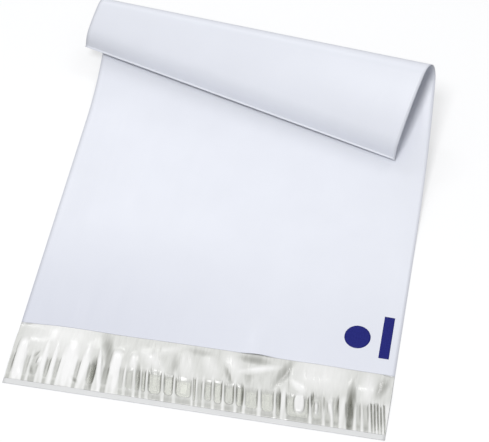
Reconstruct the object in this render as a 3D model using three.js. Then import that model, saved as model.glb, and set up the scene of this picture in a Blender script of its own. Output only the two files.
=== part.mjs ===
// Mailing bag of folded plastic film with a self-seal flap, lying with its bottom end rolled over.
// Millimetres, +Z up. The origin is on the table at the middle of the pocket's mouth, +Y runs from
// the mouth towards the rolled end.
//
// Every piece is laid out flat first: u across the bag from its left edge, v from the flap's lip to
// the bottom fold, h up through the thickness. The flat layout is then set in the rolled shape.
import * as THREE from "three";

const DEG = Math.PI / 180;

// Bag
const BAG_WIDTH = 254;
const POCKET_LENGTH = 330.2;
const FLAP_LENGTH = 48.5;
const FILM_THICKNESS = 0.3;
const POCKET_GAP = 0.4;
const SIDE_WELD = 4;
const WELD_PRESS = 0.3;
const FOLD_DEPTH = 1.2;
const FOLD_NOSE = 0.5;

// The front panel lifts a little at the mouth, most at mid width.
const MOUTH_LIFT = 1.5;
const MOUTH_REACH = 60;

// Seal strip on the flap's inner face: a band of glue under a wider peel-off liner.
const GLUE_FROM_LIP = 6;
const GLUE_WIDTH = 20;
const GLUE_THICKNESS = 0.3;
const LINER_FROM_LIP = 4;
const LINER_FROM_MOUTH = 0.5;
const LINER_THICKNESS = 0.3;
const LAY_CLEARANCE = 0.3;

// The liner puckers up off the glue in narrow fingers that run from the lip towards the mouth.
const PUCKER_HEIGHT = 1.4;
const PUCKER_PITCH = 9.2;
const PUCKER_BEAT = 14.6;

// Rolled end. The sheet bends only about straight lines that all meet at one apex, level with the
// table, out beyond the left edge and past the bottom fold. It rises off the table, turns over, and
// its free end lies back over the bag, with a drooping lip. Lengths and radii of the roll are those
// at mid width.
const APEX_OUT = 486;
const APEX_PAST = 25.5;
const RISE_RADIUS = 173;
const RISE_TURN = 36.25 * DEG;
const BEND_RADIUS = 9;
const BEND_TURN = 172 * DEG;
const ROLLED_BACK = 48.8;
const LIP_REACH = 17;
const LIP_DROOP = 3.6;
const LIP_GAP = 4.9;

// Facets
const RISE_FACETS = 10;
const BEND_FACETS = 26;
const TOP_FACETS = 5;
const LIP_FACETS = 5;
const FLAT_FACETS = 6;
const WIDTH_FACETS = 14;
const GLUE_FACETS = 8;
const FINGER_FACETS = 6;
const LINER_ROWS = 8;

const BOTTOM = FLAP_LENGTH + POCKET_LENGTH;
const GLUE_TOP = GLUE_FROM_LIP + GLUE_WIDTH;
const LINER_TOP = FLAP_LENGTH - LINER_FROM_MOUTH;
const APEX = new THREE.Vector3(-APEX_OUT, BOTTOM + APEX_PAST, 0);
const SECTOR_RADIUS = APEX_OUT + BAG_WIDTH / 2;

// The part that lies back curves down just enough to bring its lip to the gap over the bag.
const BACK_SLOPE = Math.PI - BEND_TURN;
const BACK_DROP = 2 * BEND_RADIUS + BACK_SLOPE * ROLLED_BACK - LIP_DROOP - LIP_GAP;
const TOP_RADIUS = 1 / (2 * BACK_DROP / ROLLED_BACK ** 2 - 1 / RISE_RADIUS);

// Stretches of the roll from the table to the free end, each with one radius. A stretch is measured
// by the angle it takes up at the apex.
const STRETCHES = [
  { radius: RISE_RADIUS, sector: RISE_TURN * RISE_RADIUS / SECTOR_RADIUS },
  { radius: BEND_RADIUS, sector: BEND_TURN * BEND_RADIUS / SECTOR_RADIUS },
  { radius: TOP_RADIUS, sector: ROLLED_BACK / SECTOR_RADIUS },
];
const [RISE_SECTOR, BEND_SECTOR, TOP_SECTOR] = STRETCHES.map((stretch) => stretch.sector);
const RISE_START = Math.atan(APEX_PAST / SECTOR_RADIUS) + RISE_SECTOR + BEND_SECTOR + TOP_SECTOR;

// For each stretch: where it starts, its bending line and normal there, and the axis that carries
// them along the stretch.
function rollFrames() {
  const line = new THREE.Vector3(Math.cos(RISE_START), -Math.sin(RISE_START), 0);
  const normal = new THREE.Vector3(0, 0, 1);
  let start = 0;
  return STRETCHES.map((stretch) => {
    const spin = line.clone().multiplyScalar(SECTOR_RADIUS / stretch.radius).add(normal);
    const rate = spin.length();
    const frame = { start, line: line.clone(), normal: normal.clone(), axis: spin.normalize(), rate };
    line.applyAxisAngle(frame.axis, rate * stretch.sector);
    normal.applyAxisAngle(frame.axis, rate * stretch.sector);
    start += stretch.sector;
    return frame;
  });
}

const FRAMES = rollFrames();

// Point of the rolled sheet for a point of the flat layout.
function place(u, v, h) {
  const du = u - APEX.x;
  const dv = APEX.y - v;
  const along = RISE_START - Math.atan2(dv, du);
  const point = new THREE.Vector3(u, v, h);
  if (along > 0) {
    const frame = FRAMES.filter((candidate) => candidate.start < along).at(-1);
    const angle = frame.rate * (along - frame.start);
    const line = frame.line.clone().applyAxisAngle(frame.axis, angle);
    const normal = frame.normal.clone().applyAxisAngle(frame.axis, angle);
    point.copy(APEX).addScaledVector(line, Math.hypot(du, dv)).addScaledVector(normal, h);
  }
  return point.sub(new THREE.Vector3(BAG_WIDTH / 2, FLAP_LENGTH, 0));
}

// Rows of the layout: a row gives v for each u. Level rows run square across the bag, bending rows
// along the lines that the roll bends about.
const level = (v) => () => v;
const bending = (along) => (u) => APEX.y - (u - APEX.x) * Math.tan(RISE_START - along);
const between = (low, high, share) => (u) => low(u) + (high(u) - low(u)) * share;

function steps(low, high, count) {
  return Array.from({ length: count }, (_, i) => low + (high - low) * i / count);
}

// Closed sheet: the solid cells of a grid of columns, rows and layers, with only the faces between
// a solid cell and an empty one.
function sheetGeometry(columns, rows, layers, isSolid) {
  const points = [];
  const faces = [];
  const known = new Map();

  function corner(i, j, k) {
    const key = (i * rows.length + j) * layers.length + k;
    if (!known.has(key)) {
      const u = columns[i];
      const v = rows[j](u);
      known.set(key, points.length / 3);
      points.push(...place(u, v, layers[k](u, v)).toArray());
    }
    return known.get(key);
  }

  function solidAt(i, j, k) {
    const inside = i >= 0 && j >= 0 && k >= 0
      && i < columns.length - 1 && j < rows.length - 1 && k < layers.length - 1;
    return inside && isSolid(i, j, k);
  }

  // Corners of the face on each side of a unit cell, counted round its outward normal.
  const SIDES = [
    { step: [1, 0, 0], ring: [[1, 0, 0], [1, 1, 0], [1, 1, 1], [1, 0, 1]] },
    { step: [-1, 0, 0], ring: [[0, 0, 0], [0, 0, 1], [0, 1, 1], [0, 1, 0]] },
    { step: [0, 1, 0], ring: [[0, 1, 0], [0, 1, 1], [1, 1, 1], [1, 1, 0]] },
    { step: [0, -1, 0], ring: [[0, 0, 0], [1, 0, 0], [1, 0, 1], [0, 0, 1]] },
    { step: [0, 0, 1], ring: [[0, 0, 1], [1, 0, 1], [1, 1, 1], [0, 1, 1]] },
    { step: [0, 0, -1], ring: [[0, 0, 0], [0, 1, 0], [1, 1, 0], [1, 0, 0]] },
  ];

  for (let i = 0; i < columns.length - 1; i += 1) {
    for (let j = 0; j < rows.length - 1; j += 1) {
      for (let k = 0; k < layers.length - 1; k += 1) {
        if (!solidAt(i, j, k)) continue;
        for (const { step, ring } of SIDES) {
          if (solidAt(i + step[0], j + step[1], k + step[2])) continue;
          const [a, b, c, d] = ring.map((r) => corner(i + r[0], j + r[1], k + r[2]));
          faces.push(a, b, c, a, c, d);
        }
      }
    }
  }

  const geometry = new THREE.BufferGeometry();
  geometry.setAttribute("position", new THREE.Float32BufferAttribute(points, 3));
  geometry.setIndex(faces);
  geometry.computeVertexNormals();
  return geometry;
}

// Film: the back panel runs on into the flap, the front panel stops at the mouth. The two are welded
// along both sides and are one web at the bottom fold, and the pocket between them opens at the mouth.
function filmGeometry() {
  const weldEdge = BAG_WIDTH - SIDE_WELD;
  const columns = [0, ...steps(SIDE_WELD, weldEdge, WIDTH_FACETS), weldEdge, BAG_WIDTH];
  const mouth = level(FLAP_LENGTH);
  const riseStart = bending(0);
  const topStart = bending(RISE_SECTOR + BEND_SECTOR);
  const lipStart = BOTTOM - LIP_REACH;
  const foldStart = BOTTOM - FOLD_DEPTH;
  const rows = [
    level(0),
    ...steps(0, 1, FLAT_FACETS).map((share) => between(mouth, riseStart, share)),
    ...steps(0, RISE_SECTOR, RISE_FACETS).map(bending),
    ...steps(RISE_SECTOR, RISE_SECTOR + BEND_SECTOR, BEND_FACETS).map(bending),
    ...steps(0, 1, TOP_FACETS).map((share) => between(topStart, level(lipStart), share)),
    ...steps(lipStart, foldStart, LIP_FACETS).map(level),
    level(foldStart),
    level(BOTTOM),
  ];
  const lastColumn = columns.length - 2;
  const lastRow = rows.length - 2;

  // Gap between the panels. The welds are pressed thinner towards the cut edges.
  function pocketGap(u, v) {
    const across = THREE.MathUtils.clamp((u - SIDE_WELD) / (weldEdge - SIDE_WELD), 0, 1);
    const inward = 1 - THREE.MathUtils.smoothstep(v, FLAP_LENGTH, FLAP_LENGTH + MOUTH_REACH);
    const intoWeld = Math.max(0, SIDE_WELD - u, u - weldEdge) / SIDE_WELD;
    return POCKET_GAP + MOUTH_LIFT * Math.sin(Math.PI * across) * inward - WELD_PRESS * intoWeld;
  }

  // The folded edge is rounded down to its nose, and the lip droops towards the bag.
  function rounded(h, v) {
    const middle = FILM_THICKNESS + POCKET_GAP / 2;
    const intoFold = THREE.MathUtils.smoothstep(v, foldStart, BOTTOM);
    const intoLip = Math.max(0, v - lipStart) / LIP_REACH;
    return h + (middle - h) * (1 - FOLD_NOSE) * intoFold + LIP_DROOP * intoLip ** 2;
  }

  const layers = [
    (u, v) => rounded(0, v),
    (u, v) => rounded(FILM_THICKNESS, v),
    (u, v) => rounded(FILM_THICKNESS + pocketGap(u, v), v),
    (u, v) => rounded(2 * FILM_THICKNESS + pocketGap(u, v), v),
  ];
  return sheetGeometry(columns, rows, layers, (i, j, k) => {
    const welded = i === 0 || i === lastColumn || j === lastRow;
    return k === 0 || (j > 0 && (k === 2 || welded));
  });
}

const GLUE_BASE = FILM_THICKNESS + LAY_CLEARANCE;
const LINER_BASE = GLUE_BASE + GLUE_THICKNESS + LAY_CLEARANCE;

function glueGeometry() {
  const columns = [...steps(0, BAG_WIDTH, GLUE_FACETS), BAG_WIDTH];
  const rows = [level(GLUE_FROM_LIP), level(GLUE_TOP)];
  const layers = [() => GLUE_BASE, () => GLUE_BASE + GLUE_THICKNESS];
  return sheetGeometry(columns, rows, layers, () => true);
}

// Height of the liner's puckers: fingers of two beating pitches, rounded off towards the lip and
// dying out above the glue.
function puckerLift(u, v) {
  const fingers = 1 - Math.cos(2 * Math.PI * u / PUCKER_PITCH) * Math.cos(2 * Math.PI * u / PUCKER_BEAT);
  const rounded = THREE.MathUtils.smoothstep(v, GLUE_FROM_LIP, GLUE_FROM_LIP + GLUE_WIDTH / 2);
  const dying = 1 - THREE.MathUtils.smoothstep(v, GLUE_TOP - GLUE_WIDTH / 4, LINER_TOP);
  return PUCKER_HEIGHT / 2 * fingers * rounded * dying;
}

function linerGeometry() {
  const facets = Math.round(BAG_WIDTH / PUCKER_PITCH * FINGER_FACETS);
  const columns = [...steps(0, BAG_WIDTH, facets), BAG_WIDTH];
  const rows = [...steps(LINER_FROM_LIP, LINER_TOP, LINER_ROWS), LINER_TOP].map(level);
  const layers = [
    (u, v) => LINER_BASE + puckerLift(u, v),
    (u, v) => LINER_BASE + puckerLift(u, v) + LINER_THICKNESS,
  ];
  return sheetGeometry(columns, rows, layers, () => true);
}

function piece(name, geometry, material) {
  const mesh = new THREE.Mesh(geometry, material);
  mesh.name = name;
  return mesh;
}

const filmMaterial = new THREE.MeshStandardMaterial({ color: 0xeaedf4, roughness: 0.42, metalness: 0 });
const glueMaterial = new THREE.MeshStandardMaterial({ color: 0xb5b3ab, roughness: 0.3, metalness: 0 });
const linerMaterial = new THREE.MeshStandardMaterial({ color: 0xd7d8d6, roughness: 0.18, metalness: 0 });

const bag = new THREE.Group();
bag.name = "mailing_bag";
bag.add(piece("mailer_film", filmGeometry(), filmMaterial));
bag.add(piece("adhesive_band", glueGeometry(), glueMaterial));
bag.add(piece("release_liner", linerGeometry(), linerMaterial));

export default bag;
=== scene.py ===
"""Mailing bag of folded plastic film with a self-seal flap, its bottom end rolled over.

Every sheet is laid out flat first, in millimetres: u across the bag from its left edge, v from the
flap's lip to the bottom fold, h up through the thickness. place() sets it in the rolled shape, in
metres, in the frame of the solid model.
"""
import math

import bmesh
import bpy
from mathutils import Matrix, Quaternion, Vector


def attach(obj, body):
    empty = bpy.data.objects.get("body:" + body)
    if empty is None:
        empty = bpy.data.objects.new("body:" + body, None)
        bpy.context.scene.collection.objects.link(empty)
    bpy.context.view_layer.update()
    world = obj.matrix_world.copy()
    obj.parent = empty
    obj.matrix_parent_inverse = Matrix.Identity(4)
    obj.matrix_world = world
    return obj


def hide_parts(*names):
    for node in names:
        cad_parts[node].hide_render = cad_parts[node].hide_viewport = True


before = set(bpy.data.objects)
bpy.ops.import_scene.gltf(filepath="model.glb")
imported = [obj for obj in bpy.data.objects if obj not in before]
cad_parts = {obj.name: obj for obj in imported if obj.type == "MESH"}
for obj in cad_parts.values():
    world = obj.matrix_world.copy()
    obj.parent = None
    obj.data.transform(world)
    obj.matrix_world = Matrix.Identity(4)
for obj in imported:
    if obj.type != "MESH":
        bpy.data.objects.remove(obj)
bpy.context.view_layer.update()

MM = 0.001

# Bag, the same sizes as the solid model
BAG_WIDTH = 254.0
POCKET_LENGTH = 330.2
FLAP_LENGTH = 48.5
SIDE_WELD = 4.0
BOTTOM = FLAP_LENGTH + POCKET_LENGTH
WEB_LENGTH = BOTTOM + POCKET_LENGTH

# Rolled end, the same as the solid model but for its lip
APEX_OUT = 486.0
APEX_PAST = 25.5
RISE_RADIUS = 173.0
RISE_TURN = math.radians(36.25)
BEND_RADIUS = 9.0
BEND_TURN = math.radians(172)
ROLLED_BACK = 48.8
LIP_REACH = 17.0
# Thin film lets the lip droop nearer to the bag than the solid does, and its stiff crease turns up.
LIP_DROOP = 5.8
DROOP_POWER = 2.4
LIP_GAP = 3.7
CREASE_REACH = 2.0
CREASE_RISE = 1.5

# Seal strip
GLUE_FROM_LIP = 6.0
GLUE_TOP = 26.0
LINER_FROM_LIP = 4.0
LINER_TOP = 49.5

# Film gauges, a little over the real ones. Heights are those of the face that looks into the pocket.
FILM_GAUGE = 0.13
GLUE_COAT = 0.10
LINER_GAUGE = 0.06
BACK_PANEL_H = 0.16
FRONT_PANEL_H = 0.34
WELDED_H = 0.20
# Soft bead of the bottom fold: its width, and how far up the bag the panels flare into it
FOLD_BEAD = 0.8
BEAD_REACH = 4.0
TURN_START = BOTTOM - math.pi / 4 * FOLD_BEAD
TURN_END = BOTTOM + math.pi / 4 * FOLD_BEAD
LINER_H = 0.62

SECTOR_RADIUS = APEX_OUT + BAG_WIDTH / 2
APEX = Vector((-APEX_OUT, BOTTOM + APEX_PAST, 0.0))
BACK_DROP = 2 * BEND_RADIUS + (math.pi - BEND_TURN) * ROLLED_BACK - LIP_DROOP - LIP_GAP
TOP_RADIUS = 1 / (2 * BACK_DROP / ROLLED_BACK ** 2 - 1 / RISE_RADIUS)
STRETCHES = [
    (RISE_RADIUS, RISE_TURN * RISE_RADIUS / SECTOR_RADIUS),
    (BEND_RADIUS, BEND_TURN * BEND_RADIUS / SECTOR_RADIUS),
    (TOP_RADIUS, ROLLED_BACK / SECTOR_RADIUS),
]
RISE_START = math.atan(APEX_PAST / SECTOR_RADIUS) + sum(sector for _, sector in STRETCHES)


def roll_frames():
    """Start, bending line, normal, carrying axis and rate of each stretch of the roll."""
    line = Vector((math.cos(RISE_START), -math.sin(RISE_START), 0.0))
    normal = Vector((0.0, 0.0, 1.0))
    start = 0.0
    frames = []
    for radius, sector in STRETCHES:
        spin = line * (SECTOR_RADIUS / radius) + normal
        rate = spin.length
        axis = spin.normalized()
        frames.append((start, line.copy(), normal.copy(), axis, rate))
        turn = Quaternion(axis, rate * sector)
        line.rotate(turn)
        normal.rotate(turn)
        start += sector
    return frames


ROLL_FRAMES = roll_frames()


def place(u, v, h):
    """Point of the rolled sheet, in metres, for a point of the flat layout, in millimetres."""
    du = u - APEX.x
    dv = APEX.y - v
    along = RISE_START - math.atan2(dv, du)
    if along <= 0:
        point = Vector((u, v, h))
    else:
        start, line, normal, axis, rate = [f for f in ROLL_FRAMES if f[0] < along][-1]
        turn = Quaternion(axis, rate * (along - start))
        point = APEX + turn @ line * math.hypot(du, dv) + turn @ normal * h
    return (point - Vector((BAG_WIDTH / 2, FLAP_LENGTH, 0.0))) * MM


def smooth_step(x, low, high):
    """0 below low, 1 above high, with a smooth rise between them."""
    share = min(max((x - low) / (high - low), 0.0), 1.0)
    return share * share * (3 - 2 * share)


def bump(x, centre, reach):
    """Smooth hump of height 1 at centre that is gone at reach on either side."""
    return 1 - smooth_step(abs(x - centre), 0.0, reach)


def lip_droop(v):
    """How far the lip of the free end droops towards the bag, less the rise of its stiff crease."""
    into_lip = max(0.0, v - BOTTOM + LIP_REACH) / LIP_REACH
    into_crease = max(0.0, v - BOTTOM + CREASE_REACH) / CREASE_REACH
    return LIP_DROOP * into_lip ** DROOP_POWER - CREASE_RISE * into_crease ** 2


def bead_flare(v):
    """How far each panel flares from the other into the soft bead of the bottom fold."""
    flare = (FOLD_BEAD - FRONT_PANEL_H + BACK_PANEL_H) / 2
    return flare * smooth_step(v, BOTTOM - BEAD_REACH, BOTTOM - FOLD_BEAD / 2)


# Front panel, as it lies over the back panel

# The mouth gapes where the flap's puckers push it up: place across, reach, lift.
MOUTH_GAPES = [(36, 40, 1.3), (127, 120, 1.4), (163, 13, 1.5), (206, 26, 0.6)]

# Soft dents left by handling: place u and v, reach across and along, lift.
PANEL_DENTS = [
    (50, 100, 62, 44, -1.0),
    (120, 150, 95, 66, 0.8),
    (196, 118, 58, 60, 0.7),
    (88, 210, 80, 48, -0.5),
    (205, 66, 40, 24, -0.4),
]


def panel_puff(u, v):
    """How far the front panel stands off the back panel's face."""
    across = smooth_step(min(u, BAG_WIDTH - u), 1.0, 26.0)
    gape = sum(lift * bump(u, at, reach) for at, reach, lift in MOUTH_GAPES)
    mouth = gape * (1 - smooth_step(v, FLAP_LENGTH, FLAP_LENGTH + 46)) ** 2
    dents = sum(
        lift * bump(math.hypot((u - at_u) / reach_u, (v - at_v) / reach_v), 0.0, 1.0)
        for at_u, at_v, reach_u, reach_v, lift in PANEL_DENTS
    )
    lie = 1.2 * smooth_step(v, FLAP_LENGTH, FLAP_LENGTH + 70) * (1 - smooth_step(v, 180, 260))
    return max(0.0, across * (0.15 + mouth + lie + dents))


def front_height(u, v):
    """Height of the front panel's inner face."""
    welded = 1 - smooth_step(min(u, BAG_WIDTH - u), SIDE_WELD - 1.5, SIDE_WELD + 2)
    lying = FRONT_PANEL_H + panel_puff(u, v) + (WELDED_H - FRONT_PANEL_H) * welded
    return lying + lip_droop(v) + bead_flare(v)


def back_height(u, v):
    """Height of the back panel's inner face, with a slight ruffle along the flap."""
    on_flap = 1 - smooth_step(v, FLAP_LENGTH - 14, FLAP_LENGTH + 4)
    ruffle = 0.10 * math.sin(u / 6.1) + 0.07 * math.sin(u / 3.7 + 1.3)
    lying = BACK_PANEL_H + (0.17 + ruffle) * on_flap * smooth_step(v, 0.0, 9.0)
    return lying + lip_droop(v) - bead_flare(v)


def darker_near_mouth(u, w):
    """How far the front panel is drawn a darker grey: most at the mouth, towards the left."""
    near = 1 - smooth_step(2 * BOTTOM - w, FLAP_LENGTH, FLAP_LENGTH + 110)
    return near * (0.45 + 0.55 * bump(u, 40, 150))


def web_point(u, w):
    """Point of the folded web: w runs from the lip over the back panel, round the fold and on to the mouth."""
    radius = FOLD_BEAD / 2
    angle = (w - TURN_START) / radius
    if angle <= 0:
        v = w - TURN_START + BOTTOM - radius
        return place(u, v, back_height(u, v))
    if angle >= math.pi:
        v = BOTTOM - radius - (angle - math.pi) * radius
        return place(u, v, front_height(u, v))
    nose = BOTTOM - radius + radius * math.sin(angle)
    middle = (BACK_PANEL_H + FRONT_PANEL_H) / 2 + lip_droop(nose)
    return place(u, nose, middle - radius * math.cos(angle))


# Release liner. It sticks to the glue in rounded cells and bulges up in narrow tunnels between them.

# Cells: left and right side across the bag, and how well the liner sticks there.
CELLS = [
    (0.0, 4.0, 0.5), (10.8, 14.4, 0.4), (14.8, 21.2, 0.45), (24.8, 28.4, 0.65), (31.0, 34.9, 0.55), (45.0, 48.6, 0.4),
    (53.4, 59.6, 0.8), (63.6, 68.6, 0.55), (75.0, 79.2, 0.5), (79.4, 85.4, 0.7), (85.9, 90.0, 0.8), (90.2, 94.0, 0.9),
    (94.6, 104.6, 1.0), (105.2, 112.6, 1.0), (113.0, 124.9, 1.0), (125.0, 127.4, 0.9), (127.6, 132.2, 0.7),
    (132.3, 138.4, 0.9), (138.6, 145.2, 1.0), (145.6, 153.3, 0.9), (153.5, 159.0, 1.0), (159.4, 169.0, 0.9),
    (169.8, 179.6, 1.0), (179.8, 184.0, 0.9), (186.4, 202.8, 0.9), (203.0, 211.4, 0.7), (211.6, 217.0, 0.6),
    (217.2, 222.4, 0.7), (225.6, 231.6, 0.6), (232.2, 236.6, 0.5), (236.8, 241.8, 0.5), (242.4, 243.8, 0.8),
    (244.5, 245.9, 0.9), (246.6, 248.0, 0.9), (248.6, 250.0, 0.8), (250.8, 252.2, 0.7),
]
CELL_CORNER = 4.0
CELL_LEAN = 0.16
TUNNEL_HEIGHT = 1.3

# Soft folds, and pinches where the lift is less than 0: place u and v, half length, half width, turn in
# degrees from across the bag, lift, fullness (2 is round, more has steep ends).
FOLDS = [
    (30, 44, 32, 22, 0, 0.55, 3),
    (7.2, 20, 19, 4.2, 92, 1.4, 3),
    (23.2, 21, 17, 2.6, 91, 1.0, 2),
    (29.8, 20, 18, 2.3, 90, 1.0, 2),
    (19.8, 20, 4.5, 1.8, 80, 0.8, 2),
    (16.4, 13, 6, 1.4, 110, -0.5, 2),
    (17.2, 25, 4.5, 1.3, 60, -0.5, 2),
    (40, 20, 19, 6.6, 91, 0.8, 3),
    (46.6, 10, 5, 1.6, -40, -0.6, 2),
    (50.8, 22, 18, 3.6, 90, 1.0, 2),
    (61.2, 20, 19, 2.4, 99, 1.1, 2),
    (71, 27, 12, 4.6, 92, 1.2, 3),
    (72.6, 14, 10, 3.6, 90, 0.7, 2),
    (82.4, 30, 9, 3.8, 92, 0.9, 2),
    (57.4, 17, 14, 2.6, 94, -1.0, 2),
    (61.4, 41, 13, 5.0, 110, -0.35, 2),
    (65.4, 26, 24, 4.0, 96, -0.4, 2),
    (88.2, 18, 14, 2.0, 101, -0.6, 2),
    (94, 33, 15, 6.5, -40, 0.65, 2),
    (104, 42, 16, 4.0, 30, 0.3, 2),
    (118, 31, 15, 7.0, 100, 0.5, 2),
    (125, 44, 13, 3.4, -6, -0.3, 2),
    (134, 34, 14, 7.0, 116, 0.45, 2),
    (149, 37, 17, 8.0, 122, 0.55, 2),
    (145.6, 31, 11, 2.0, 118, -0.5, 2),
    (110, 31, 13, 3.0, 98, -0.3, 2),
    (161, 44.5, 14, 4.4, -3, -0.6, 2),
    (158.6, 31, 9, 5.0, 80, -0.3, 2),
    (166, 38, 17, 3.6, 18, 1.0, 2),
    (158, 16, 12, 1.6, 97, -1.0, 2),
    (182, 38, 16, 5.0, 66, -0.55, 2),
    (182, 17, 11, 1.8, 98, -0.8, 2),
    (206, 40, 23, 16, 0, 0.6, 3),
    (193, 29, 9, 4.0, -34, 0.9, 2),
    (195.6, 17, 8.5, 4.8, 98, 1.2, 3),
    (207, 16, 9, 2.6, 98, 0.8, 2),
    (203.4, 22, 7, 1.2, 96, -0.7, 2),
    (211, 21, 9, 1.2, 104, -0.6, 2),
    (215.6, 17, 9, 2.4, 104, 0.9, 2),
    (220, 20, 10, 1.2, 92, -0.6, 2),
    (228.8, 20, 24, 4.0, 94, -1.0, 2),
    (238, 36, 16, 7.0, 92, 0.8, 2),
    (247, 38, 14, 4.4, 72, -0.5, 2),
]
FOLD_TURNS = [(math.cos(math.radians(fold[4])), math.sin(math.radians(fold[4]))) for fold in FOLDS]

# The mouth stands clear of the liner here: place across, reach, gap.
MOUTH_GAP = (162, 14, 1.1)


def cell_at(u, v):
    """Cell whose column takes in a point, with the point's distance inside its sides, or None.

    The columns lean, except towards the left end.
    """
    u += CELL_LEAN * smooth_step(u, 50, 90) * (v - (GLUE_FROM_LIP + GLUE_TOP) / 2)
    for left, right, hold in CELLS:
        if left < u < right:
            return left, right, hold, min(u - left, right - u)
    return None


def column_share(u, v):
    """1 in the column of a cell, also above and below the cell itself, 0 in the tunnels."""
    cell = cell_at(u, v)
    if cell is None:
        return 0.0
    left, right, _, side = cell
    return smooth_step(side, 0.0, min(1.4, 0.3 * (right - left)))


def stuck_share(u, v):
    """1 where the liner sticks flat to the glue, 0 where it is loose."""
    cell = cell_at(u, v)
    if cell is None:
        return 0.0
    left, right, hold, side = cell
    width = right - left
    corner = min(width / 2, CELL_CORNER)
    low = v - GLUE_FROM_LIP - 1.8 + 2.4 * smooth_step(left, 130, 200) - 0.5 * math.sin(2.3 * left)
    high = 0.35 * (GLUE_TOP - 0.5 - v + math.sin(1.7 * right))
    inside = min(side, low)
    if side < corner and low < corner:
        inside = corner - math.hypot(corner - side, corner - low)
    # Wide cells have a second, fainter line inside their wall.
    second = 0.16 * bump(inside, 3.0, 0.9) * smooth_step(width, 6, 9)
    # A fold that stands up inside a cell is a blister, loose from the glue.
    blister = 1 - 0.8 * smooth_step(fold_lift(u, v), 0.25, 0.8)
    return hold * blister * (smooth_step(min(inside, high), 0.0, min(1.8, 0.42 * width)) - second)


def fold_lift(u, v):
    """Height of the soft folds, less the depth of the pinches."""
    lift = 0.0
    for (at_u, at_v, length, width, _, height, fullness), (cos, sin) in zip(FOLDS, FOLD_TURNS):
        along = abs((u - at_u) * cos + (v - at_v) * sin) / length
        across = abs((v - at_v) * cos - (u - at_u) * sin) / width
        if along < 1 and across < 1:
            lift += height * max(0.0, 1 - along ** fullness - across ** fullness) ** 1.5
    return lift


def liner_height(u, v):
    """Height of the liner over the table. Its upper edge goes in under the mouth."""
    loose = 1 - stuck_share(u, v)
    tunnels = TUNNEL_HEIGHT * (1 + 0.22 * math.sin(u / 7.3) + 0.15 * math.sin(u / 2.9))
    lift = max(0.0, tunnels * loose + fold_lift(u, v) * max(0.15, loose))
    lift *= smooth_step(v, LINER_FROM_LIP - 1.0, LINER_FROM_LIP + 13.0)
    gap_at, gap_reach, gap = MOUTH_GAP
    edge = front_height(u, max(v, FLAP_LENGTH)) - 0.03 - gap * bump(u, gap_at, gap_reach)
    tucked = smooth_step(v, FLAP_LENGTH - 16, FLAP_LENGTH)
    lying = LINER_H - 0.3 * (1 - smooth_step(v, LINER_FROM_LIP, GLUE_FROM_LIP))
    return (lying + lift) * (1 - tucked) + edge * tucked


def liner_point(u, v):
    """Point of the liner. Between the welds its upper edge is tucked a little way into the mouth."""
    top = FLAP_LENGTH - 0.2 + 1.2 * smooth_step(min(u, BAG_WIDTH - u), SIDE_WELD + 1, SIDE_WELD + 6)
    v = LINER_FROM_LIP + (v - LINER_FROM_LIP) * (top - LINER_FROM_LIP) / (LINER_TOP - LINER_FROM_LIP)
    return place(u, v, liner_height(u, v))


def liner_painted_light(u, v):
    """Painted light and shade of the liner: 0 is painted shade in pinches and on steep walls, 0.5 where the liner
    lies plain, 1 is painted highlight where it stands up in ridges.
    """
    step = 0.25
    here = liner_height(u, v)
    across = (liner_height(u + step, v) - here) / step
    along = (liner_height(u, v + step) - here) / step
    # Painted shade on the steep walls, darker on walls that face left or back.
    slope = 0.6 * abs(across) + 0.4 * max(0.0, across) + 0.8 * max(0.0, -along)
    wall = smooth_step(slope, 0.05, 1.2)
    tunnel = 1 - column_share(u, v)
    on_glue = 1 - smooth_step(v, GLUE_TOP - 3, GLUE_TOP + 4)
    # Painted highlight: the tunnels between the cells are drawn white, partly the haze of film standing off the glue.
    ridge = (0.45 + 0.25 * math.sin(1.3 * u)) * tunnel * on_glue
    # Painted shadow under the cells, along the foot of the glue.
    hem_shade = 0.3 * (1 - tunnel) * (1 - smooth_step(v, GLUE_FROM_LIP, GLUE_FROM_LIP + 4))
    # Folds are painted lighter and pinches darker, by their lift.
    return min(max(0.5 + 0.5 * (fold_lift(u, v) + ridge - hem_shade) - 0.42 * wall, 0.0), 1.0)


def row_places(runs):
    """Places along a layout, from runs of (start, end, number of rows)."""
    places = [runs[0][0]]
    for start, end, rows in runs:
        places += [start + (end - start) * (i + 1) / rows for i in range(rows)]
    return places


def sheet_piece(name, columns, rows, shape, gauge, materials, tones=()):
    """Sheet of film: a grid over the layout's columns and rows, shaped, with its gauge away from its face."""
    mesh = bpy.data.meshes.new(name)
    bm = bmesh.new()
    bmesh.ops.create_grid(bm, x_segments=len(columns) - 1, y_segments=len(rows) - 1, size=0.5)
    flat = bm.loops.layers.uv.new("flat")
    layers = [(bm.verts.layers.float.new(tone.__name__), tone) for tone in tones]
    for vert in bm.verts:
        u = columns[round((vert.co.x + 0.5) * (len(columns) - 1))]
        w = rows[round((vert.co.y + 0.5) * (len(rows) - 1))]
        for layer, tone in layers:
            vert[layer] = tone(u, w)
        for loop in vert.link_loops:
            loop[flat].uv = (u * MM, w * MM)
        vert.co = shape(u, w)
    for face in bm.faces:
        face.smooth = True
    bm.to_mesh(mesh)
    bm.free()
    piece = bpy.data.objects.new(name, mesh)
    bpy.context.scene.collection.objects.link(piece)
    for material in materials:
        mesh.materials.append(material)
    wall = piece.modifiers.new("gauge", "SOLIDIFY")
    wall.thickness = gauge * MM
    wall.offset = -1
    wall.use_even_offset = False
    wall.material_offset = len(materials) - 1
    wall.material_offset_rim = len(materials) - 1
    return piece


def even_places(low, high, count):
    return [low + (high - low) * i / count for i in range(count + 1)]


# Materials

def linear(hex_colour):
    """Linear colour from an sRGB hex value."""
    parts = [int(hex_colour[i:i + 2], 16) / 255 for i in (1, 3, 5)]
    return [c / 12.92 if c <= 0.04045 else ((c + 0.055) / 1.055) ** 2.4 for c in parts] + [1.0]


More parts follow.
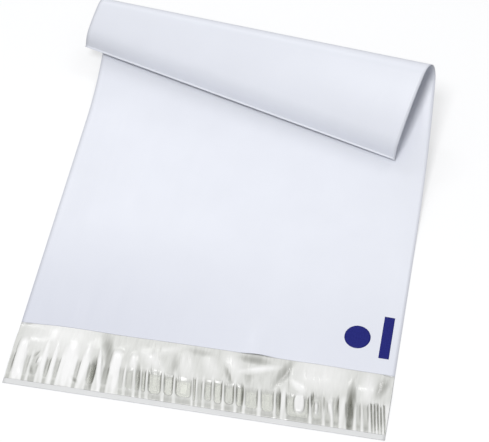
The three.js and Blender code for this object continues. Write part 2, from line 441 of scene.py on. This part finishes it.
def add_node(tree, kind, inputs=None, **settings):
    """Adds a node: inputs are values, or sockets to link, by the name of the input."""
    made = tree.nodes.new(kind)
    for name, value in settings.items():
        setattr(made, name, value)
    for name, value in (inputs or {}).items():
        if isinstance(value, bpy.types.NodeSocket):
            tree.links.new(value, made.inputs[name])
        else:
            made.inputs[name].default_value = value
    return made


def new_material(name):
    """Material with an empty node tree and its output."""
    material = bpy.data.materials.new(name)
    material.use_nodes = True
    material.node_tree.nodes.clear()
    return material, material.node_tree, add_node(material.node_tree, "ShaderNodeOutputMaterial")


def film_material(name, low, high, roughness, grain_mm):
    """Blown co-extruded polyethylene film: satin, with faint die lines along the web and cloudy gauge."""
    material, tree, out = new_material(name)
    flat = add_node(tree, "ShaderNodeUVMap", uv_map="flat").outputs["UV"]
    # Die lines are some 3 mm apart and run for 90 mm or so along the web.
    along = add_node(tree, "ShaderNodeMapping", {"Vector": flat, "Scale": (1.0, 0.033, 1.0)})
    lines = add_node(tree, "ShaderNodeTexNoise", {
        "Vector": along.outputs["Vector"], "Scale": 1 / (3 * MM), "Detail": 3.0, "Roughness": 0.55,
    }, noise_dimensions="2D")
    # The gauge drifts in clouds of about 35 mm.
    clouds = add_node(tree, "ShaderNodeTexNoise", {
        "Vector": flat, "Scale": 1 / (35 * MM), "Detail": 2.0,
    }, noise_dimensions="2D")
    # The matt grain of the film, drawn coarser than real so that it shows.
    grain = add_node(tree, "ShaderNodeTexNoise", {
        "Vector": flat, "Scale": 1 / (grain_mm * MM), "Detail": 2.0,
    }, noise_dimensions="2D")
    cloudy = add_node(tree, "ShaderNodeValToRGB", {"Fac": clouds.outputs["Fac"]})
    cloudy.color_ramp.elements[0].position = 0.3
    cloudy.color_ramp.elements[0].color = linear(low)
    cloudy.color_ramp.elements[1].position = 0.7
    cloudy.color_ramp.elements[1].color = linear(high)
    # The front panel is drawn a darker grey near the mouth, most towards the left.
    grey = add_node(tree, "ShaderNodeAttribute", attribute_name="darker_near_mouth").outputs["Fac"]
    tone = add_node(tree, "ShaderNodeMix", {
        "Factor": grey, "A": cloudy.outputs["Color"], "B": linear("#d6d9e4"),
    }, data_type="RGBA")
    gloss = add_node(tree, "ShaderNodeMapRange", {
        "Value": lines.outputs["Fac"], "From Min": 0.3, "From Max": 0.7,
        "To Min": roughness - 0.04, "To Max": roughness + 0.05,
    })
    die_bump = add_node(tree, "ShaderNodeBump", {
        "Height": lines.outputs["Fac"], "Strength": 0.5, "Distance": 0.03 * MM,
    })
    grain_bump = add_node(tree, "ShaderNodeBump", {
        "Height": grain.outputs["Fac"], "Strength": 0.35, "Distance": 0.02 * MM,
        "Normal": die_bump.outputs["Normal"],
    })
    shader = add_node(tree, "ShaderNodeBsdfPrincipled", {
        "Base Color": tone.outputs["Result"], "Roughness": gloss.outputs["Result"], "IOR": 1.51,
        "Normal": grain_bump.outputs["Normal"],
    })
    tree.links.new(shader.outputs["BSDF"], out.inputs["Surface"])
    return material


def glue_material():
    """Pressure-sensitive hot-melt: a translucent, faintly green-grey coat.

    The coating head leaves it combed along the flap.
    """
    material, tree, out = new_material("hot_melt_glue")
    flat = add_node(tree, "ShaderNodeUVMap", uv_map="flat").outputs["UV"]
    # Comb lines 1 mm apart that run across the bag.
    along = add_node(tree, "ShaderNodeMapping", {"Vector": flat, "Scale": (0.05, 1.0, 1.0)})
    comb = add_node(tree, "ShaderNodeTexNoise", {
        "Vector": along.outputs["Vector"], "Scale": 1 / (1.0 * MM), "Detail": 2.0,
    }, noise_dimensions="2D")
    tone = add_node(tree, "ShaderNodeValToRGB", {"Fac": comb.outputs["Fac"]})
    tone.color_ramp.elements[0].position = 0.3
    tone.color_ramp.elements[0].color = linear("#e9ebe2")
    tone.color_ramp.elements[1].position = 0.7
    tone.color_ramp.elements[1].color = linear("#f3f4ed")
    combed = add_node(tree, "ShaderNodeBump", {
        "Height": comb.outputs["Fac"], "Strength": 0.4, "Distance": 0.05 * MM,
    })
    shader = add_node(tree, "ShaderNodeBsdfPrincipled", {
        "Base Color": tone.outputs["Color"], "Roughness": 0.28, "IOR": 1.48,
        "Normal": combed.outputs["Normal"],
    })
    tree.links.new(shader.outputs["BSDF"], out.inputs["Surface"])
    return material


def liner_material():
    """Siliconed release film: glossy, see-through on the glue, with painted highlight where it stands up and painted
    shade in its pinches and on its steep walls.
    """
    material, tree, out = new_material("clear_release_film")
    flat = add_node(tree, "ShaderNodeUVMap", uv_map="flat").outputs["UV"]
    stuck = add_node(tree, "ShaderNodeAttribute", attribute_name="stuck_share").outputs["Fac"]
    # The painted light and shade that each point of the liner carries.
    lie = add_node(tree, "ShaderNodeAttribute", attribute_name="liner_painted_light").outputs["Fac"]
    # Fine creases about 2 mm apart and 12 mm long.
    along = add_node(tree, "ShaderNodeMapping", {"Vector": flat, "Scale": (1.0, 0.17, 1.0)})
    creases = add_node(tree, "ShaderNodeTexNoise", {
        "Vector": along.outputs["Vector"], "Scale": 1 / (2 * MM), "Detail": 2.0, "Distortion": 0.4,
    }, noise_dimensions="2D")
    haze = add_node(tree, "ShaderNodeTexNoise", {
        "Vector": flat, "Scale": 1 / (9 * MM), "Detail": 2.0,
    }, noise_dimensions="2D")
    # The creases drift the tone a little.
    drift = add_node(tree, "ShaderNodeMapRange", {
        "Value": creases.outputs["Fac"], "From Min": 0.3, "From Max": 0.7, "To Min": -0.04, "To Max": 0.04,
    })
    painted_light_drifted = add_node(tree, "ShaderNodeMath", {0: lie, 1: drift.outputs["Result"]}, operation="ADD")
    tone = add_node(tree, "ShaderNodeValToRGB", {"Fac": painted_light_drifted.outputs["Value"]})
    # The ramp paints the liner's shade dark olive-grey, its plain parts pale grey and its highlights white.
    tone.color_ramp.elements[0].color = linear("#6f7066")
    tone.color_ramp.elements.new(0.5).color = linear("#e2e3e0")
    tone.color_ramp.elements[2].color = linear("#ffffff")
    clear = add_node(tree, "ShaderNodeMapRange", {"Value": stuck, "To Min": 0.9, "To Max": 0.25})
    gloss = add_node(tree, "ShaderNodeMapRange", {
        "Value": haze.outputs["Fac"], "From Min": 0.3, "From Max": 0.7, "To Min": 0.15, "To Max": 0.25,
    })
    creased = add_node(tree, "ShaderNodeBump", {
        "Height": creases.outputs["Fac"], "Strength": 0.15, "Distance": 0.12 * MM,
    })
    shader = add_node(tree, "ShaderNodeBsdfPrincipled", {
        "Base Color": tone.outputs["Color"], "Roughness": gloss.outputs["Result"], "IOR": 1.5,
        "Alpha": clear.outputs["Result"], "Normal": creased.outputs["Normal"],
    })
    tree.links.new(shader.outputs["BSDF"], out.inputs["Surface"])
    return material


def ink_material():
    """Flexographic ink on film: a thin solid navy with the faint mottle of the plate."""
    material, tree, out = new_material("navy_flexo_ink")
    flat = add_node(tree, "ShaderNodeUVMap", uv_map="flat").outputs["UV"]
    mottle = add_node(tree, "ShaderNodeTexNoise", {
        "Vector": flat, "Scale": 1 / (0.9 * MM), "Detail": 3.0,
    }, noise_dimensions="2D")
    tone = add_node(tree, "ShaderNodeValToRGB", {"Fac": mottle.outputs["Fac"]})
    tone.color_ramp.elements[0].position = 0.3
    tone.color_ramp.elements[0].color = linear("#15196a")
    tone.color_ramp.elements[1].position = 0.75
    tone.color_ramp.elements[1].color = linear("#20267c")
    shader = add_node(tree, "ShaderNodeBsdfPrincipled", {
        "Base Color": tone.outputs["Color"], "Roughness": 0.55, "IOR": 1.5, "Specular IOR Level": 0.15,
    })
    tree.links.new(shader.outputs["BSDF"], out.inputs["Surface"])
    return material


WHITE_FILM = film_material("white_polyethylene_film", "#e6e9f2", "#e8ebf4", 0.40, 0.8)
GREY_FILM = film_material("grey_polyethylene_film", "#d8d9da", "#dedfe0", 0.38, 0.8)
GLUE = glue_material()
LINER = liner_material()
INK = ink_material()

# Film. The rows are finest in the roll and round the fold, and the front panel's mirror the back panel's.
RISE_FROM = 140.0
ROLL_FROM = 270.0
FOLD_FROM = 375.0
TO_FRONT = 2 * BOTTOM
film = sheet_piece(
    "film_bag",
    even_places(0, BAG_WIDTH, 96),
    row_places([
        (0, FLAP_LENGTH, 40), (FLAP_LENGTH, RISE_FROM, 20), (RISE_FROM, ROLL_FROM, 40), (ROLL_FROM, FOLD_FROM, 105),
        (FOLD_FROM, TURN_START, 8), (TURN_START, TURN_END, 8), (TURN_END, TO_FRONT - FOLD_FROM, 8),
        (TO_FRONT - FOLD_FROM, TO_FRONT - ROLL_FROM, 105), (TO_FRONT - ROLL_FROM, TO_FRONT - RISE_FROM, 44),
        (TO_FRONT - RISE_FROM, 700, 40), (700, WEB_LENGTH, 8),
    ]),
    web_point, FILM_GAUGE, [GREY_FILM, WHITE_FILM], [darker_near_mouth],
)
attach(film, "root")
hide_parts("mailer_film")

# Glue band
glue = sheet_piece(
    "glue_band",
    even_places(0.4, BAG_WIDTH - 0.4, 160),
    even_places(GLUE_FROM_LIP, GLUE_TOP, 14),
    lambda u, v: place(u, v, back_height(u, v) + GLUE_COAT + 0.02), GLUE_COAT, [GLUE],
)
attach(glue, "root")
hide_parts("adhesive_band")

# Release liner
liner = sheet_piece(
    "peel_off_liner",
    even_places(0.2, BAG_WIDTH - 0.2, 900),
    row_places([(LINER_FROM_LIP, 6, 3), (6, 12, 10), (12, 23, 8), (23, 28, 8), (28, LINER_TOP, 15)]),
    liner_point, LINER_GAUGE, [LINER], [stuck_share, liner_painted_light],
)
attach(liner, "root")
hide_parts("release_liner")

# Print: a plain disc and a plain bar, low on the right of the front panel
INK_COAT = 0.02
INK_LIFT = FILM_GAUGE + 0.03
# Disc: centre and radius. Bar: centre, width and length.
PRINT_DISC = (225.4, 74.6, 8.8)
PRINT_BAR = (244.7, 77.3, 7.0, 33.0)


def ink_piece(name, bm):
    """Ink laid on the front panel from a flat outline in the layout's millimetres."""
    mesh = bpy.data.meshes.new(name)
    flat = bm.loops.layers.uv.new("flat")
    for vert in bm.verts:
        u, v = vert.co.x, vert.co.y
        for loop in vert.link_loops:
            loop[flat].uv = (u * MM, v * MM)
        vert.co = place(u, v, front_height(u, v) + INK_LIFT)
    for face in bm.faces:
        face.smooth = True
    bmesh.ops.recalc_face_normals(bm, faces=bm.faces)
    bm.to_mesh(mesh)
    bm.free()
    piece = bpy.data.objects.new(name, mesh)
    bpy.context.scene.collection.objects.link(piece)
    mesh.materials.append(INK)
    coat = piece.modifiers.new("coat", "SOLIDIFY")
    coat.thickness = INK_COAT * MM
    coat.offset = -1
    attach(piece, "root")
    return piece


disc = bmesh.new()
bmesh.ops.create_circle(disc, cap_ends=True, segments=72, radius=PRINT_DISC[2])
for _ in range(5):
    middle = max(disc.faces, key=lambda face: len(face.verts))
    bmesh.ops.inset_region(disc, faces=[middle], thickness=1.5, use_boundary=True)
bmesh.ops.translate(disc, verts=disc.verts, vec=(PRINT_DISC[0], PRINT_DISC[1], 0))
ink_piece("print_disc", disc)

bar = bmesh.new()
bmesh.ops.create_grid(bar, x_segments=8, y_segments=22, size=0.5)
bmesh.ops.scale(bar, verts=bar.verts, vec=(PRINT_BAR[2], PRINT_BAR[3], 1))
bmesh.ops.translate(bar, verts=bar.verts, vec=(PRINT_BAR[0], PRINT_BAR[1], 0))
ink_piece("print_bar", bar)

# Floor
FLOOR_SIDE = 6.0
FLOOR_CLEAR = 0.3
floor_mesh = bpy.data.meshes.new("floor")
floor_bm = bmesh.new()
bmesh.ops.create_grid(floor_bm, x_segments=1, y_segments=1, size=FLOOR_SIDE / 2)
bmesh.ops.translate(floor_bm, verts=floor_bm.verts, vec=(0, 0, -FLOOR_CLEAR * MM))
floor_bm.to_mesh(floor_mesh)
floor_bm.free()
floor = bpy.data.objects.new("floor", floor_mesh)
bpy.context.scene.collection.objects.link(floor)
floor_material, floor_tree, floor_out = new_material("white_sweep")
floor_paper = add_node(floor_tree, "ShaderNodeBsdfDiffuse", {"Color": linear("#f4f5f7")})
floor_path = add_node(floor_tree, "ShaderNodeLightPath")
floor_glow = add_node(floor_tree, "ShaderNodeMapRange", {
    "Value": floor_path.outputs["Is Camera Ray"], "To Max": 1.12,
})
floor_light = add_node(floor_tree, "ShaderNodeEmission", {
    "Color": (1, 1, 1, 1), "Strength": floor_glow.outputs["Result"],
})
floor_share = add_node(floor_tree, "ShaderNodeMixShader", {
    "Fac": 0.5, 1: floor_paper.outputs["BSDF"], 2: floor_light.outputs["Emission"],
})
floor_tree.links.new(floor_share.outputs["Shader"], floor_out.inputs["Surface"])
floor_mesh.materials.append(floor_material)

# Light
scene = bpy.context.scene
scene.view_settings.view_transform = "Standard"


def soft_box(name, place_at, aim, size, power):
    """Soft box that looks at a point."""
    lamp = bpy.data.lights.new(name, "AREA")
    lamp.shape = "RECTANGLE"
    lamp.size, lamp.size_y = size
    lamp.energy = power
    box = bpy.data.objects.new(name, lamp)
    towards = Vector(aim) - Vector(place_at)
    box.matrix_world = Matrix.Translation(place_at) @ towards.to_track_quat("-Z", "Y").to_matrix().to_4x4()
    scene.collection.objects.link(box)


soft_box("key_box", (-0.15, -0.42, 1.34), (0.0, 0.10, 0.0), (0.4, 0.4), 9.9)
soft_box("back_strip_right", (0.45, 1.05, 1.20), (0.0, 0.0, 0.0), (0.5, 0.2), 2.2)
soft_box("back_strip_left", (-0.45, 1.05, 1.20), (0.0, 0.0, 0.0), (0.4, 0.2), 1.8)

# The tent is brightest overhead.
TENT_SIDES = 0.10
TENT_TOP = 0.62
world = bpy.data.worlds.new("studio")
world.use_nodes = True
world.node_tree.nodes.clear()
path = add_node(world.node_tree, "ShaderNodeLightPath")
seen = add_node(world.node_tree, "ShaderNodeMath", {
    0: path.outputs["Is Camera Ray"], 1: path.outputs["Is Glossy Ray"],
}, operation="MAXIMUM")
seen = add_node(world.node_tree, "ShaderNodeMath", {
    0: seen.outputs["Value"], 1: path.outputs["Is Transmission Ray"],
}, operation="MAXIMUM")
direction = add_node(world.node_tree, "ShaderNodeTexCoord").outputs["Generated"]
height = add_node(world.node_tree, "ShaderNodeSeparateXYZ", {"Vector": direction})
tent = add_node(world.node_tree, "ShaderNodeMapRange", {
    "Value": height.outputs["Z"], "To Min": TENT_SIDES, "To Max": TENT_TOP,
})
strength = add_node(world.node_tree, "ShaderNodeMapRange", {
    "Value": seen.outputs["Value"], "To Min": tent.outputs["Result"], "To Max": 1.0,
})
sky = add_node(world.node_tree, "ShaderNodeBackground", {
    "Color": (1, 1, 1, 1), "Strength": strength.outputs["Result"],
})
add_node(world.node_tree, "ShaderNodeOutputWorld", {"Surface": sky.outputs["Background"]})
scene.world = world

# Camera
AZIMUTH = math.radians(12.603)
ELEVATION = math.radians(53.096)
ROLL = math.radians(-2.4)
DISTANCE = 1165.2 * MM
AIM = Vector((132.9 - BAG_WIDTH / 2, 157.8 - FLAP_LENGTH, 0.0)) * MM
camera_data = bpy.data.cameras.new("camera")
camera_data.sensor_width = 36.0
camera_data.sensor_fit = "HORIZONTAL"
camera_data.lens = 121.74
camera = bpy.data.objects.new("camera", camera_data)
scene.collection.objects.link(camera)
outward = Vector((
    math.sin(AZIMUTH) * math.cos(ELEVATION), -math.cos(AZIMUTH) * math.cos(ELEVATION), math.sin(ELEVATION),
))
right = Vector((0, 0, 1)).cross(outward).normalized()
upward = outward.cross(right)
right, upward = (
    math.cos(ROLL) * right + math.sin(ROLL) * upward,
    math.cos(ROLL) * upward - math.sin(ROLL) * right,
)
turned = Matrix((right, upward, outward)).transposed().to_4x4()
camera.matrix_world = Matrix.Translation(AIM + outward * DISTANCE) @ turned
scene.camera = camera
